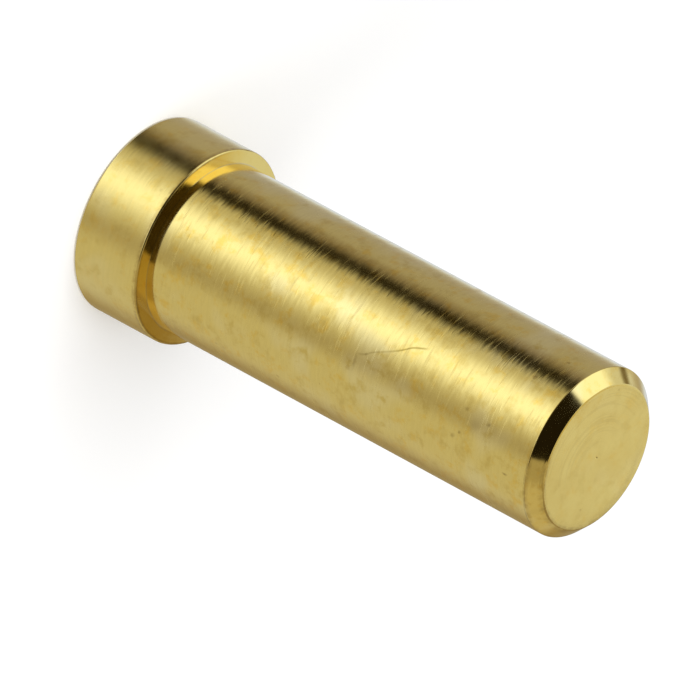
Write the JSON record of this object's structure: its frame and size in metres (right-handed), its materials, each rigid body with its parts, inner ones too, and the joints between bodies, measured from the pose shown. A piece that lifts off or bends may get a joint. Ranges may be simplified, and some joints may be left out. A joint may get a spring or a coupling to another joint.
{
  "type": "test jack",
  "caption": "Press-in test jack: a headed round barrel with a closed, chamfered end, and a split spring contact inside its mouth that grips a test pin.",
  "frame": {"origin": "centre of the mouth, on the head's flat face that the jack stands on", "axes": "+Z along the jack's axis, from the mouth in the head to the closed end; +X through the seam of the spring contact"},
  "size_m": [0.0032, 0.0032, 0.009],
  "materials": {
    "shell_plating": "satin gold plating over fine turning marks",
    "contact_plating": "smooth bright gold plating on rolled strip"
  },
  "bodies": {
    "root": {"shell": "shell_plating", "contact_clip": "contact_plating"}
  },
  "joints": []
}
